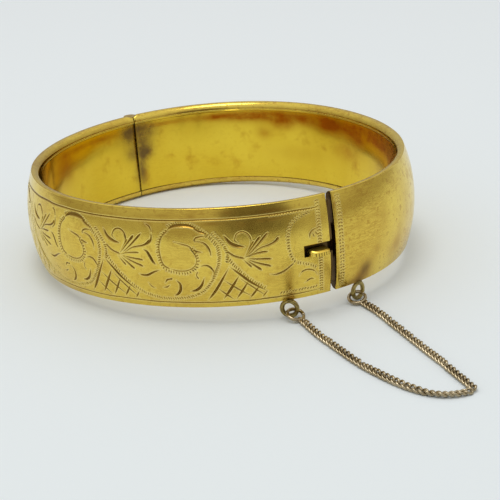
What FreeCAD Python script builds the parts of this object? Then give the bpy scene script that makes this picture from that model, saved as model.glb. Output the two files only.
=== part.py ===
import FreeCAD, Part
import math
import os

# Hinged oval bangle with a safety chain, in millimetres.
# The bangle is built in its own frame: z = 0 at the lower edge of the band, +X from the hinge
# to the clasp, the engraved half on the -Y side.  It is then laid on the table, where the lower
# edge at the hinge and the two chain eyes at the clasp carry it.

# ---- driving dimensions ----
MEAN_RADIUS = 30.2           # of the rim corner, the line where the domed face meets the rim
OVAL = 0.024                 # how much longer the hinge-to-clasp axis is
EGG = 0.0165                 # three-lobed part of the outline
EGG_TURN = math.radians(57)
BAND_HEIGHT = 15.2
DOME = 1.3                   # how far the face bulges past the rim corner
WALL = 1.43                  # from the rim corner in to the wearer's side
SHELL_SHEET = 0.45
LINING_SHEET = 0.35
LIP_HEIGHT = 1.2             # rolled lip, where the shell turns in over the lining
LIP_DEPTH = 1.0
CORNER = 0.15
CAP_SHEET = 0.5
CLASP_GAP = 0.8
HINGE_SEAM = 0.24
OVERRUN = math.radians(4)    # swept stock past each end, trimmed off later
CAP_REACH = math.radians(7)  # swept stock each side of a cap
SPINE_STEPS = 24

# hinge
AXIS_OUT = 0.2               # hinge axis outside the rim corner line
KNUCKLE_RADIUS = 1.1
KNUCKLE_COUNT = 5
KNUCKLE_FROM = 0.15
KNUCKLE_GAP = 0.06
KNUCKLE_SINK = 0.10          # clearance round the knuckles in both halves
PIN_RADIUS = 0.40
PIN_CLEARANCE = 0.03
PIN_FROM = 0.12
WEB_IN = -0.62
WEB_OUT = -0.10
WEB_FROM = 1.35
HINGE_CAP_AT = 1.35

# snap: a folded spring tongue on the plain half
TONGUE_HEIGHT = 5.2
LEAF_SHEET = 0.30
LOWER_LEAF = -0.80           # inner face of the lower leaf, from the rim corner line
FOLD_GAP = 0.20
FOLD_AT = 4.75               # depth of the fold's centre past the clasp line
LEAF_RISE = 0.40             # the spring leaf stands this far open at its free end
LEAF_END = 0.98
FOLD_CLEARANCE = 0.07
MOUTH_MARGIN = 0.15
MOUTH_OUT = 0.50
MOUTH_IN = -0.90
MOUTH_CUT = 3.0              # the mouth's cutter passes this far behind the plate
SLOT_LENGTH = 4.95
SLOT_IN = 0.1                # the slot's cutter starts this far inside the rim corner line
SLOT_LOW = 6.65
SLOT_HIGH = 8.40
THUMB_FROM = 4.5
THUMB_TO = 1.5
THUMB_LOW = 6.72
THUMB_HIGH = 7.65
THUMB_PROUD = 1.0
THUMB_SLOPE = 0.3            # its deep end stands this much less proud
THUMB_STOCK = 0.6            # stock left inside the leaf, cut away by it

# safety chain
TILT = math.radians(2.8)
EYE_RADIUS = 1.15
EYE_WIRE = 0.35
EYE_IN = -0.40
EYE_FOOT = 0.45
FOOT_OVERLAP = 0.1           # the foot starts this far inside the wire
EYE_TOP = 0.2                # an eye's solder ends this far above the band's lower edge
RING_RADIUS = 1.22
RING_WIRE = 0.27
CHAIN_RADIUS = 0.60
BEND_SHARE = 0.45            # of the shorter run, taken by the arc at each bend
TABLE_CLEARANCE = 0.01

OUT = "parts"
UP = FreeCAD.Vector(0, 0, 1)
BIG = 80.0
PAST = 1.0                   # cutters pass this far beyond what they cut


# ---- outline of the oval ----
def corner_radius(turn):
    """Distance of the rim corner from the middle of the bangle."""
    return MEAN_RADIUS * (1 + OVAL * math.cos(2 * turn) + EGG * math.cos(3 * turn - EGG_TURN))


def outward(turn):
    """Unit vector out of the band, square to its outline."""
    slope = MEAN_RADIUS * (-2 * OVAL * math.sin(2 * turn) - 3 * EGG * math.sin(3 * turn - EGG_TURN))
    radius = corner_radius(turn)
    along_x = slope * math.cos(turn) - radius * math.sin(turn)
    along_y = slope * math.sin(turn) + radius * math.cos(turn)
    size = math.hypot(along_x, along_y)
    return FreeCAD.Vector(along_y / size, -along_x / size, 0)


def band_point(turn, out, height):
    radius = corner_radius(turn)
    corner = FreeCAD.Vector(radius * math.cos(turn), radius * math.sin(turn), height)
    return corner + outward(turn) * out


def dome(height, sheet=0.0):
    """How far the face stands out at a height, less the sheet's thickness."""
    middle = BAND_HEIGHT / 2
    return DOME * (1 - ((height - middle) / middle) ** 2) - sheet


CLASP_X = corner_radius(0.0)
HINGE_X = -corner_radius(math.pi) - AXIS_OUT
AXIS_TO_CLASP = CLASP_X - HINGE_X
MIDDLE = BAND_HEIGHT / 2


# ---- shape helpers ----
def box(x0, x1, y0, y1, z0, z1):
    return Part.makeBox(x1 - x0, y1 - y0, z1 - z0, FreeCAD.Vector(x0, y0, z0))


def rod(x, y, radius, z0, z1):
    return Part.makeCylinder(radius, z1 - z0, FreeCAD.Vector(x, y, z0), UP)


def section_wire(turn, path):
    """Closed wire across the band.  A path item is a point, or a pair (through, end) for an arc."""
    def at(spot):
        return band_point(turn, spot[0], spot[1])

    edges = []
    here = path[0]
    for item in path[1:]:
        if isinstance(item[0], tuple):
            through, end = item
            edges.append(Part.Arc(at(here), at(through), at(end)).toShape())
        else:
            end = item
            edges.append(Part.LineSegment(at(here), at(end)).toShape())
        here = end
    return Part.Wire(edges)


def sweep(path, start, end):
    """Solid with a constant section along the oval's outline."""
    steps = [start + (end - start) * i / SPINE_STEPS for i in range(SPINE_STEPS + 1)]
    spine = Part.BSplineCurve()
    spine.interpolate([band_point(turn, 0, 0) for turn in steps])
    pipe = Part.BRepOffsetAPI.MakePipeShell(Part.Wire([spine.toShape()]))
    pipe.setBiNormalMode(UP)
    pipe.add(section_wire(start, path))
    pipe.build()
    pipe.makeSolid()
    return pipe.shape()


def only_solid(shape):
    """The one solid of a boolean's result."""
    solids = sorted(shape.Solids, key=lambda solid: -solid.Volume)
    return solids[0]


# ---- sections across the band, as (out from the rim corner, height) ----
def lip_arc(at_top):
    """Rolled lip from the flat of the rim down to the wearer's side."""
    bend = 1 - math.sqrt(0.5)
    low = [(-WALL, LIP_HEIGHT), (-WALL + LIP_DEPTH * bend, LIP_HEIGHT * bend), (-WALL + LIP_DEPTH, 0.0)]
    if at_top:
        return [(out, BAND_HEIGHT - height) for out, height in reversed(low)]
    return low


def corner_arc(at_top):
    bend = CORNER * (1 - math.sqrt(0.5))
    low = [(-CORNER, 0.0), (-bend, bend), (0.0, CORNER)]
    if at_top:
        return [(out, BAND_HEIGHT - height) for out, height in reversed(low)]
    return low


def shell_section():
    low_lip = lip_arc(False)
    top_lip = lip_arc(True)
    low_corner = corner_arc(False)
    top_corner = corner_arc(True)
    under = dome(LIP_HEIGHT, SHELL_SHEET)
    return [low_lip[0], (low_lip[1], low_lip[2]), low_corner[0], (low_corner[1], low_corner[2]),
            ((DOME, MIDDLE), top_corner[0]), (top_corner[1], top_corner[2]), top_lip[0],
            (top_lip[1], top_lip[2]), (under, BAND_HEIGHT - LIP_HEIGHT),
            ((DOME - SHELL_SHEET, MIDDLE), (under, LIP_HEIGHT)), low_lip[0]]


def lining_section():
    inside = -WALL
    outside = -WALL + LINING_SHEET
    top = BAND_HEIGHT - LIP_HEIGHT
    return [(inside, LIP_HEIGHT), (outside, LIP_HEIGHT), (outside, top), (inside, top), (inside, LIP_HEIGHT)]


def hollow_section():
    """The space between lining and shell, which the caps close."""
    inside = -WALL + LINING_SHEET
    under = dome(LIP_HEIGHT, SHELL_SHEET)
    top = BAND_HEIGHT - LIP_HEIGHT
    return [(inside, LIP_HEIGHT), (under, LIP_HEIGHT), ((DOME - SHELL_SHEET, MIDDLE), (under, top)),
            (inside, top), (inside, LIP_HEIGHT)]


# ---- trimming ----
def half_block(side):
    """Everything on one side of the hinge seam and the clasp gap; side is -1 or +1."""
    def slab(x0, x1, gap):
        near = side * gap / 2
        far = side * BIG
        return box(x0, x1, min(near, far), max(near, far), -BIG, BIG)

    return slab(-BIG, 0, HINGE_SEAM).fuse(slab(0, BIG, CLASP_GAP))


def half_range(side):
    if side < 0:
        return -math.pi - OVERRUN, OVERRUN
    return -OVERRUN, math.pi + OVERRUN


def hinge_hollow():
    return rod(HINGE_X, 0, KNUCKLE_RADIUS + KNUCKLE_SINK, -PAST, BAND_HEIGHT + PAST)


def thumb_slot():
    return box(CLASP_X - SLOT_IN, CLASP_X + DOME + PAST, -SLOT_LENGTH, CLASP_GAP, SLOT_LOW, SLOT_HIGH)


def make_shell(side):
    shell = sweep(shell_section(), *half_range(side)).common(half_block(side))
    return only_solid(shell.cut(hinge_hollow()))


def make_lining(side):
    return only_solid(sweep(lining_section(), *half_range(side)).common(half_block(side)))


def make_cap(side, near, at_hinge):
    """Plate across the hollow, near to near + sheet from the end line."""
    edges = sorted([side * near, side * (near + CAP_SHEET)])
    middle = math.pi if at_hinge else 0.0
    hollow = sweep(hollow_section(), middle - CAP_REACH, middle + CAP_REACH)
    x0, x1 = (-BIG, 0) if at_hinge else (0, BIG)
    plate = hollow.common(box(x0, x1, edges[0], edges[1], -PAST, BAND_HEIGHT + PAST))
    return only_solid(plate)


def make_mouth_plate():
    """Cap of the engraved half, with the opening that the tongue enters."""
    plate = make_cap(-1, CLASP_GAP / 2, False)
    low = MIDDLE - TONGUE_HEIGHT / 2 - MOUTH_MARGIN
    high = MIDDLE + TONGUE_HEIGHT / 2 + MOUTH_MARGIN
    opening = box(CLASP_X + MOUTH_IN, CLASP_X + MOUTH_OUT, -MOUTH_CUT, PAST, low, high)
    return plate.cut(opening).cut(thumb_slot())


# ---- hinge ----
def knuckle_span(index):
    total = BAND_HEIGHT - 2 * KNUCKLE_FROM
    height = (total - (KNUCKLE_COUNT - 1) * KNUCKLE_GAP) / KNUCKLE_COUNT
    low = KNUCKLE_FROM + index * (height + KNUCKLE_GAP)
    return low, low + height


def make_knuckle(index, side):
    low, high = knuckle_span(index)
    web_low = max(low, WEB_FROM)
    web_high = min(high, BAND_HEIGHT - WEB_FROM)
    edges = sorted([0, side * HINGE_CAP_AT])
    corner_x = HINGE_X + AXIS_OUT
    web = box(corner_x - WEB_OUT, corner_x - WEB_IN, edges[0], edges[1], web_low, web_high)
    ring = rod(HINGE_X, 0, KNUCKLE_RADIUS, low, high)
    bore = PIN_RADIUS if side < 0 else PIN_RADIUS + PIN_CLEARANCE
    return only_solid(ring.fuse(web).cut(rod(HINGE_X, 0, bore, -PAST, BAND_HEIGHT + PAST)))


def make_pin():
    return rod(HINGE_X, 0, PIN_RADIUS, PIN_FROM, BAND_HEIGHT - PIN_FROM)


# ---- snap tongue ----
def about_axis(out, depth):
    """Point at a depth past the clasp line, on the circle round the hinge that a swing follows."""
    radius = AXIS_TO_CLASP + out
    return FreeCAD.Vector(HINGE_X + math.sqrt(radius ** 2 - depth ** 2), -depth, 0)


def leaf(outline):
    """Flat outline in plan, raised over the tongue's height."""
    low = MIDDLE - TONGUE_HEIGHT / 2
    face = Part.Face(Part.Wire(outline))
    face.translate(UP * low)
    return face.extrude(UP * TONGUE_HEIGHT)


def plan_arc(out, depth0, depth1):
    middle = (depth0 + depth1) / 2
    return Part.Arc(about_axis(out, depth0), about_axis(out, middle), about_axis(out, depth1)).toShape()


def plan_line(a, b):
    return Part.LineSegment(a, b).toShape()


FOLD_OUT = LOWER_LEAF + LEAF_SHEET + FOLD_GAP / 2


def make_tongue_base():
    """Lower leaf and the fold at its deep end, soldered to the plain half's cap."""
    inner = LOWER_LEAF
    outer = LOWER_LEAF + LEAF_SHEET
    root = -CLASP_GAP / 2
    fold = about_axis(FOLD_OUT, FOLD_AT)
    inside = FOLD_GAP / 2
    outside = FOLD_GAP / 2 + LEAF_SHEET
    along = FreeCAD.Vector(0, -1, 0)
    out = FreeCAD.Vector(1, 0, 0)
    far_outer = fold + out * outside
    far_inner = fold + out * inside
    near_outer = about_axis(inner, FOLD_AT)
    near_inner = about_axis(outer, FOLD_AT)
    return leaf([plan_arc(inner, root, FOLD_AT),
                 Part.Arc(near_outer, fold + along * outside, far_outer).toShape(),
                 plan_line(far_outer, far_inner),
                 Part.Arc(far_inner, fold + along * inside, near_inner).toShape(),
                 plan_arc(outer, FOLD_AT, root),
                 plan_line(about_axis(outer, root), about_axis(inner, root))])


def spring_out(depth):
    """Inner face of the spring leaf, which rises from the fold to its free end."""
    share = (FOLD_AT - depth) / (FOLD_AT - LEAF_END)
    return LOWER_LEAF + LEAF_SHEET + FOLD_GAP + LEAF_RISE * share


def make_spring_leaf():
    start = FOLD_AT - FOLD_CLEARANCE
    corners = [about_axis(spring_out(start), start), about_axis(spring_out(LEAF_END), LEAF_END),
               about_axis(spring_out(LEAF_END) + LEAF_SHEET, LEAF_END),
               about_axis(spring_out(start) + LEAF_SHEET, start)]
    return leaf([plan_line(corners[i], corners[(i + 1) % 4]) for i in range(4)])


def make_thumb_piece(spring_leaf):
    """Block on the spring leaf that stands out of the slot."""
    proud = DOME + THUMB_PROUD
    corners = [about_axis(0, THUMB_FROM), about_axis(0, THUMB_TO),
               about_axis(proud, THUMB_TO), about_axis(proud - THUMB_SLOPE, THUMB_FROM)]
    inward = FreeCAD.Vector(-THUMB_STOCK, 0, 0)
    corners[0] = corners[0] + inward
    corners[1] = corners[1] + inward
    face = Part.Face(Part.Wire([plan_line(corners[i], corners[(i + 1) % 4]) for i in range(4)]))
    face.translate(UP * THUMB_LOW)
    block = face.extrude(UP * (THUMB_HIGH - THUMB_LOW))
    return max(block.cut(spring_leaf).Solids, key=lambda solid: solid.CenterOfMass.x)


# ---- table frame ----
SETTLE_PIVOT = FreeCAD.Vector(-corner_radius(math.pi), 0, 0)
ORIGIN_SHIFT = FreeCAD.Vector(-0.073, 0.416, 0)   # brings the closed bangle's box over the origin
FRONT_EYE_TURN = math.radians(-13.2)
BACK_EYE_TURN = math.radians(8.8)
FRONT_EYE_FACES = math.radians(-47)             # the hole's direction in plan
BACK_EYE_FACES = math.radians(16)
FRONT_RING_LEADS = math.radians(12)             # where the jump ring lies from its eye
BACK_RING_LEADS = math.radians(-43)
RING_PITCH = math.radians(20)
RING_DROP = 0.25                                # the ring hangs below the hole's middle

# Chain routes on the table, from the jump ring to the fold at the chain's tip.
FRONT_ROUTE = [(31.9, -6.1, 0.64), (34.5, -6.6, 0.63), (38.8, -7.1, 0.62), (44.4, -7.5, 0.62),
               (50.2, -7.6, 0.62), (55.2, -7.1, 0.62), (59.0, -6.1, 0.62), (61.4, -4.6, 0.62),
               (62.7, -2.8, 0.62), (63.1, -1.3, 0.62)]
BACK_ROUTE = [(32.7, 4.5, 0.64), (35.7, 4.4, 0.63), (40.2, 3.7, 0.62), (46.2, 2.8, 0.62),
              (52.4, 1.8, 0.62), (58.0, 0.9, 0.62), (62.1, 0.4, 0.62)]


def settle(shape):
    """Lay a shape of the bangle's own frame on the table."""
    laid = shape.copy()
    laid.rotate(SETTLE_PIVOT, FreeCAD.Vector(0, 1, 0), -math.degrees(TILT))
    laid.translate(ORIGIN_SHIFT)
    return laid


def settle_point(point):
    turn = FreeCAD.Rotation(FreeCAD.Vector(0, 1, 0), -math.degrees(TILT))
    return turn.multVec(point - SETTLE_PIVOT) + SETTLE_PIVOT + ORIGIN_SHIFT


def eye_centre(turn):
    """Middle of an eye, low enough for its rim to rest on the table."""
    top = band_point(turn, EYE_IN, 0)
    rest = TABLE_CLEARANCE + EYE_RADIUS + EYE_WIRE
    lift = (top - SETTLE_PIVOT).x * math.sin(TILT)
    top.z = (rest - lift) / math.cos(TILT)
    return top


def make_eye(turn, faces, shell):
    centre = eye_centre(turn)
    axis = FreeCAD.Vector(math.cos(faces), math.sin(faces), 0)
    loop = Part.makeTorus(EYE_RADIUS, EYE_WIRE, centre, axis)
    foot_from = centre.z + EYE_RADIUS - FOOT_OVERLAP
    foot = rod(centre.x, centre.y, EYE_FOOT, foot_from, PAST)
    return only_solid(loop.fuse(foot).cut(shell).common(box(-BIG, BIG, -BIG, BIG, -BIG, EYE_TOP)))


def ring_frame(turn, leads):
    """Where a jump ring passes its eye's hole, and the direction to the ring's middle."""
    hole = settle_point(eye_centre(turn))
    hole.z -= RING_DROP
    lead = FreeCAD.Vector(math.cos(leads) * math.cos(RING_PITCH),
                          math.sin(leads) * math.cos(RING_PITCH), -math.sin(RING_PITCH))
    return hole, lead


def ring_far_side(turn, leads):
    hole, lead = ring_frame(turn, leads)
    return hole + lead * (2 * RING_RADIUS)


def make_jump_ring(turn, leads):
    hole, lead = ring_frame(turn, leads)
    side = UP.cross(lead)
    side.normalize()
    axis = lead.cross(side)
    return Part.makeTorus(RING_RADIUS, RING_WIRE, hole + lead * RING_RADIUS, axis)


def chain_tube(route, label):
    """Straight runs joined by tangent arcs, each as large as its two runs allow."""
    points = [FreeCAD.Vector(*spot) for spot in route]
    edges = []
    here = points[0]
    length = 0.0
    radii = []
    for before, corner, after in zip(points, points[1:], points[2:]):
        arriving = (corner - before).normalize()
        leaving = (after - corner).normalize()
        half_turn = arriving.getAngle(leaving) / 2
        run = min((corner - before).Length, (after - corner).Length)
        reach = BEND_SHARE * run
        radius = reach / math.tan(half_turn)
        radii.append(round(radius, 1))
        first = corner - arriving * reach
        last = corner + leaving * reach
        inward = (leaving - arriving).normalize()
        through = corner + inward * (radius / math.cos(half_turn) - radius)
        edges.append(plan_line(here, first))
        edges.append(Part.Arc(first, through, last).toShape())
        length += (first - here).Length + 2 * radius * half_turn
        here = last
    edges.append(plan_line(here, points[-1]))
    length += (points[-1] - here).Length
    start = (points[1] - points[0]).normalize()
    disc = Part.Wire([Part.makeCircle(CHAIN_RADIUS, points[0], start)])
    pipe = Part.BRepOffsetAPI.MakePipeShell(Part.Wire(edges))
    pipe.add(disc)
    pipe.build()
    pipe.makeSolid()
    tube = pipe.shape()
    ratio = tube.Volume / (math.pi * CHAIN_RADIUS ** 2 * length)
    print(label, "radii", radii, "length", round(length, 2), "volume ratio", round(ratio, 4))
    return tube


# ---- assembly ----
def bangle_parts():
    front_shell = make_shell(-1).cut(thumb_slot())
    back_shell = make_shell(1)
    spring_leaf = make_spring_leaf()
    nodes = {
        "engraved_shell": only_solid(front_shell),
        "engraved_lining": make_lining(-1),
        "engraved_hinge_cap": make_cap(-1, HINGE_CAP_AT, True),
        "engraved_mouth_plate": make_mouth_plate(),
        "hinge_pin": make_pin(),
        "engraved_chain_eye": make_eye(FRONT_EYE_TURN, FRONT_EYE_FACES, front_shell),
        "plain_shell": back_shell,
        "plain_lining": make_lining(1),
        "plain_hinge_cap": make_cap(1, HINGE_CAP_AT, True),
        "plain_clasp_cap": make_cap(1, CLASP_GAP / 2, False),
        "plain_chain_eye": make_eye(BACK_EYE_TURN, BACK_EYE_FACES, back_shell),
        "tongue_base": make_tongue_base(),
        "tongue_spring_leaf": spring_leaf,
        "thumb_piece": make_thumb_piece(spring_leaf),
    }
    for index in range(KNUCKLE_COUNT):
        side = -1 if index % 2 == 0 else 1
        owner = "engraved" if side < 0 else "plain"
        nodes[f"{owner}_knuckle_{index + 1}"] = make_knuckle(index, side)
    return {name: settle(shape) for name, shape in nodes.items()}


def chain_parts():
    return {
        "jump_ring_front": make_jump_ring(FRONT_EYE_TURN, FRONT_RING_LEADS),
        "chain_leg_front": chain_tube(FRONT_ROUTE, "front leg"),
        "jump_ring_back": make_jump_ring(BACK_EYE_TURN, BACK_RING_LEADS),
        "chain_leg_back": chain_tube(BACK_ROUTE, "back leg"),
    }


def report_place(label, point):
    print(label, [round(value, 3) for value in point])


def main():
    os.makedirs(OUT, exist_ok=True)
    bangle = bangle_parts()
    chain = chain_parts()
    for name, shape in {**bangle, **chain}.items():
        if not shape.isValid() or len(shape.Solids) != 1:
            print("BAD", name, shape.isValid(), len(shape.Solids))
        shape.exportStep(f"{OUT}/{name}.step")
        print(name, round(shape.Volume, 2))
    whole = Part.makeCompound(list(bangle.values()))
    print("bangle box", whole.optimalBoundingBox(False))
    report_place("hinge axis at", settle_point(FreeCAD.Vector(HINGE_X, 0, MIDDLE)))
    report_place("axis direction", (-math.sin(TILT), 0, math.cos(TILT)))
    report_place("snap axis at", settle_point(about_axis(FOLD_OUT, FOLD_AT) + UP * MIDDLE))
    report_place("front hole", ring_frame(FRONT_EYE_TURN, FRONT_RING_LEADS)[0])
    report_place("back hole", ring_frame(BACK_EYE_TURN, BACK_RING_LEADS)[0])
    report_place("front ring far side", ring_far_side(FRONT_EYE_TURN, FRONT_RING_LEADS))
    report_place("back ring far side", ring_far_side(BACK_EYE_TURN, BACK_RING_LEADS))


main()
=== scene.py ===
import math

import bmesh
import bpy
import numpy as np
from mathutils import Matrix, Vector


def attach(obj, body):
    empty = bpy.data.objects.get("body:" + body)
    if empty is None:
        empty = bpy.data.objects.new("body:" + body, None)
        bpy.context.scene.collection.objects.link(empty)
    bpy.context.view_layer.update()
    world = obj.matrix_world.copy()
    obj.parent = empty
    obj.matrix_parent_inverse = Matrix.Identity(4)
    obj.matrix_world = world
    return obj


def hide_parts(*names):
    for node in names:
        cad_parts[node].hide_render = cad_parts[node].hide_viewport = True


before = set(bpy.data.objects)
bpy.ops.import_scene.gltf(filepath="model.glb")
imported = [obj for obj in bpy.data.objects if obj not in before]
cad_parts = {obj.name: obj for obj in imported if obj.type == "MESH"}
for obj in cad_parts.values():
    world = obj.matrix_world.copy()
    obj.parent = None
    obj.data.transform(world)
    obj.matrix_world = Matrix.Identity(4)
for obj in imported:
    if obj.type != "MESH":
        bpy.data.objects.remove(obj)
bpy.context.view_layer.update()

# Looks of the hinged bangle.  Lengths are in millimetres until mesh_object() turns them to metres.
# s is the distance along the rim corner from the clasp line, below zero on the engraved half.
# u is the distance out from the rim corner and z the height above the band's lower edge.

MM = 0.001
SEED = 31

# ---- sizes of the band, eyes and rings ----
MEAN_RADIUS = 30.2
OVAL = 0.024
EGG = 0.0165
EGG_TURN = math.radians(57)
BAND_HEIGHT = 15.2
MIDDLE = BAND_HEIGHT / 2
DOME = 1.3
WALL = 1.43
SHELL_SHEET = 0.45
LINING_SHEET = 0.35
LIP_HEIGHT = 1.2
LIP_DEPTH = 1.0
CORNER = 0.15
CLASP_GAP = 0.8
HINGE_SEAM = 0.14  # narrower than the CAD part's, which has clearance
AXIS_OUT = 0.2
KNUCKLE_HOLLOW = 1.2
SLOT_LENGTH = 4.95
SLOT_LOW = 6.65
SLOT_HIGH = 8.40
LIP_PROUD = 0.02  # the lining stands this far short of the rolled lip
LIP_STEPS = 11
CORNER_STEPS = 6
HIDDEN_STEPS = 8
SLOT_STEPS = 3
LINING_STEPS = 41
TILT = math.radians(2.8)
ORIGIN_SHIFT = (-0.073, 0.416, 0.0)
FRONT_EYE_TURN = math.radians(-13.2)
BACK_EYE_TURN = math.radians(8.8)
FRONT_EYE_FACES = math.radians(-47)
BACK_EYE_FACES = math.radians(16)
FRONT_RING_LEADS = math.radians(12)
BACK_RING_LEADS = math.radians(-43)
RING_PITCH = math.radians(20)
RING_DROP = 0.25
CLASP_BOW = 0.42  # bow of the clasp line towards the engraved half
CLASP_WORN = 0.13  # gap worn at the engraved half's end
END_ROUND = 0.22  # radius the ends are rolled over to
END_FADE = 3.5  # stations follow the shape of the ends over this length
THUMB_PROUD = 1.0
THUMB_FROM = 4.5
THUMB_TO = 1.5
THUMB_LOW = 6.72
THUMB_FOOT = 0.35  # the thumb piece's inner end
THUMB_HATCH_PITCH = 0.40
THUMB_HATCH_DEPTH = 0.09
THUMB_LOW_BEVEL = 0.09
THUMB_HIGH_BEVEL = 0.20
RING_RADIUS = 1.22
RING_WIRE = 0.27
EYE_RADIUS = 1.15
EYE_WIRE = 0.35
EYE_IN = -0.40
FOOT_TOP = -0.02  # solder foot of an eye, under the band
FOOT_NECK = 0.36
FOOT_FLARE = 0.34
FOOT_SUNK = 0.18  # the foot starts this far inside the wire
TABLE_CLEARANCE = 0.01

# ---- chain: routes on the table and width in metres, links in mm ----
FRONT_ROUTE = [
    (0.0319, -0.0061), (0.0345, -0.0066), (0.0388, -0.0071), (0.0444, -0.0075), (0.0502, -0.0076),
    (0.0552, -0.0071), (0.0590, -0.0061), (0.0614, -0.0046), (0.0627, -0.0028), (0.0631, -0.0009),
]
BACK_ROUTE = [
    (0.0327, 0.0045), (0.0357, 0.0044), (0.0402, 0.0037), (0.0462, 0.0028), (0.0524, 0.0018),
    (0.0580, 0.0009), (0.0627, 0.0001),
]
ROUTE_START = (0.00064, 0.00063)
ROUTE_HEIGHT = 0.00062
LINK_HALF = 0.64
LINK_SIDE = 0.42
LINK_WIRE = 0.19
LINK_TWIST = math.radians(50)
LINK_PITCH = 0.86
LINK_ROLL = 0.45  # a link leans this much on its edge
ROLL_SWING = 0.35  # and this much more or less on the way
ROLL_WAVE = 0.31
ROLL_DRIFT = 0.16
LINK_YAW = 0.05
LINK_LIFT = 0.015  # room under the lowest point of a link
LINK_DROP = 0.25  # a link sinks to the table by this at most


# ---- outline ----
def corner_radius(turn):
    """Radius of the rim corner's outline: a circle made slightly oval and slightly egg-shaped."""
    return MEAN_RADIUS * (1 + OVAL * np.cos(2 * turn) + EGG * np.cos(3 * turn - EGG_TURN))


TURNS = np.linspace(-math.pi - 0.1, math.pi + 0.1, 8001)
OUTLINE_X = corner_radius(TURNS) * np.cos(TURNS)
OUTLINE_Y = corner_radius(TURNS) * np.sin(TURNS)
STEP_X = np.gradient(OUTLINE_X, TURNS)
STEP_Y = np.gradient(OUTLINE_Y, TURNS)
STEP_SIZE = np.hypot(STEP_X, STEP_Y)
ARC = np.concatenate([[0.0], np.cumsum((STEP_SIZE[1:] + STEP_SIZE[:-1]) / 2 * np.diff(TURNS))])
ARC = ARC - np.interp(0.0, TURNS, ARC)
OUT_X = STEP_Y / STEP_SIZE
OUT_Y = -STEP_X / STEP_SIZE
S_AT_HINGE = {-1: float(np.interp(-math.pi, TURNS, ARC)), 1: float(np.interp(math.pi, TURNS, ARC))}
HINGE_BACK = float(corner_radius(math.pi))


def plan(s, u):
    """Place in plan of points u out from the outline at s."""
    x = np.interp(s, ARC, OUTLINE_X) + u * np.interp(s, ARC, OUT_X)
    y = np.interp(s, ARC, OUTLINE_Y) + u * np.interp(s, ARC, OUT_Y)
    return x, y


def settle(x, y, z):
    """From the bangle's own frame to the table."""
    x = x + HINGE_BACK
    laid_x = x * math.cos(TILT) - z * math.sin(TILT) - HINGE_BACK + ORIGIN_SHIFT[0]
    laid_z = x * math.sin(TILT) + z * math.cos(TILT) + ORIGIN_SHIFT[2]
    return np.stack([laid_x, y + ORIGIN_SHIFT[1] + 0 * laid_x, laid_z], axis=-1)


def on_band(s, u, z):
    """Point on the table for a place on the band."""
    x, y = plan(s, u)
    return settle(x, y, z)


def s_where(y_wanted, u, start):
    """Arc distance at which a point u out from the outline has the wanted y."""
    s = np.full(np.shape(u), float(start))
    nudge = 0.05
    for _ in range(6):
        y = plan(s, u)[1]
        slope = (plan(s + nudge, u)[1] - plan(s - nudge, u)[1]) / (2 * nudge)
        s = s + (y_wanted - y) / slope
    return s


def clasp_bow(z):
    """How far the clasp line curves towards the engraved half at a height."""
    return CLASP_BOW * (1 - ((z - MIDDLE) / MIDDLE) ** 2)


def point_at(line, far, distance):
    """Point a distance along a line whose own points lie at the distances far."""
    return np.array([np.interp(distance, far, line[:, axis]) for axis in range(line.shape[1])])


# ---- meshes ----
def nearest(values, wanted):
    """Index of the value nearest to the one wanted."""
    return int(np.argmin(np.abs(values - wanted)))


def unit(vector):
    return vector / np.linalg.norm(vector)


def put(name, data):
    """New object in the scene."""
    made = bpy.data.objects.new(name, data)
    bpy.context.scene.collection.objects.link(made)
    return made


def mesh_object(name, points, faces, flat=(), attributes=None, shaded_edge_look=False):
    """Closed mesh from points in mm; faces is a list of integer arrays, one row per face."""
    groups = [np.asarray(group) for group in faces]
    mesh = bpy.data.meshes.new(name)
    mesh.vertices.add(len(points))
    mesh.vertices.foreach_set("co", (np.asarray(points) * MM).astype(np.float32).ravel())
    totals = np.concatenate([np.full(len(g), g.shape[1]) for g in groups])
    mesh.loops.add(int(totals.sum()))
    corners = np.concatenate([g.ravel() for g in groups])
    mesh.loops.foreach_set("vertex_index", corners.astype(np.int32))
    mesh.polygons.add(len(totals))
    starts = np.concatenate([[0], np.cumsum(totals)[:-1]])
    mesh.polygons.foreach_set("loop_start", starts.astype(np.int32))
    mesh.polygons.foreach_set("loop_total", totals.astype(np.int32))
    smooth = np.concatenate([np.full(len(g), index not in flat) for index, g in enumerate(groups)])
    mesh.polygons.foreach_set("use_smooth", smooth)
    # Flat faces take the second material, the dark edge look: painted shade on cut ends, seams and slot
    # walls.
    if shaded_edge_look:
        mesh.polygons.foreach_set("material_index", (~smooth).astype(np.int32))
    mesh.update(calc_edges=True)
    for key, values in (attributes or {}).items():
        layer = mesh.attributes.new(key, "FLOAT", "POINT")
        layer.data.foreach_set("value", np.asarray(values, np.float32).ravel())
    mesh.validate()
    facing = bmesh.new()
    facing.from_mesh(mesh)
    bmesh.ops.recalc_face_normals(facing, faces=facing.faces)
    facing.to_mesh(mesh)
    facing.free()
    return put(name, mesh)


def grid_faces(first, rows, columns, keep=None):
    """Quads of a rows x columns grid of points that starts at an index."""
    i, j = np.meshgrid(np.arange(rows - 1), np.arange(columns - 1), indexing="ij")
    corner = first + i * columns + j
    quads = np.stack([corner, corner + columns, corner + columns + 1, corner + 1], axis=-1)
    if keep is not None:
        return quads[keep]
    return quads.reshape(-1, 4)


def seam_faces(rows, width):
    """Quads that join the last column of a grid to its first."""
    row = np.arange(rows - 1) * width
    return np.stack([row + width - 1, row + 2 * width - 1, row + width, row], 1)


def end_faces(rows, width):
    """The two faces that close a grid of rings at its ends."""
    return [np.arange(width)[::-1][None, :], ((rows - 1) * width + np.arange(width))[None, :]]


def joined(parts):
    """One point list and face list from several (points, faces)."""
    points = []
    faces = []
    count = 0
    for part_points, part_faces in parts:
        points.append(part_points)
        faces += [np.asarray(group) + count for group in part_faces]
        count += len(part_points)
    return np.concatenate(points), faces


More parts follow.
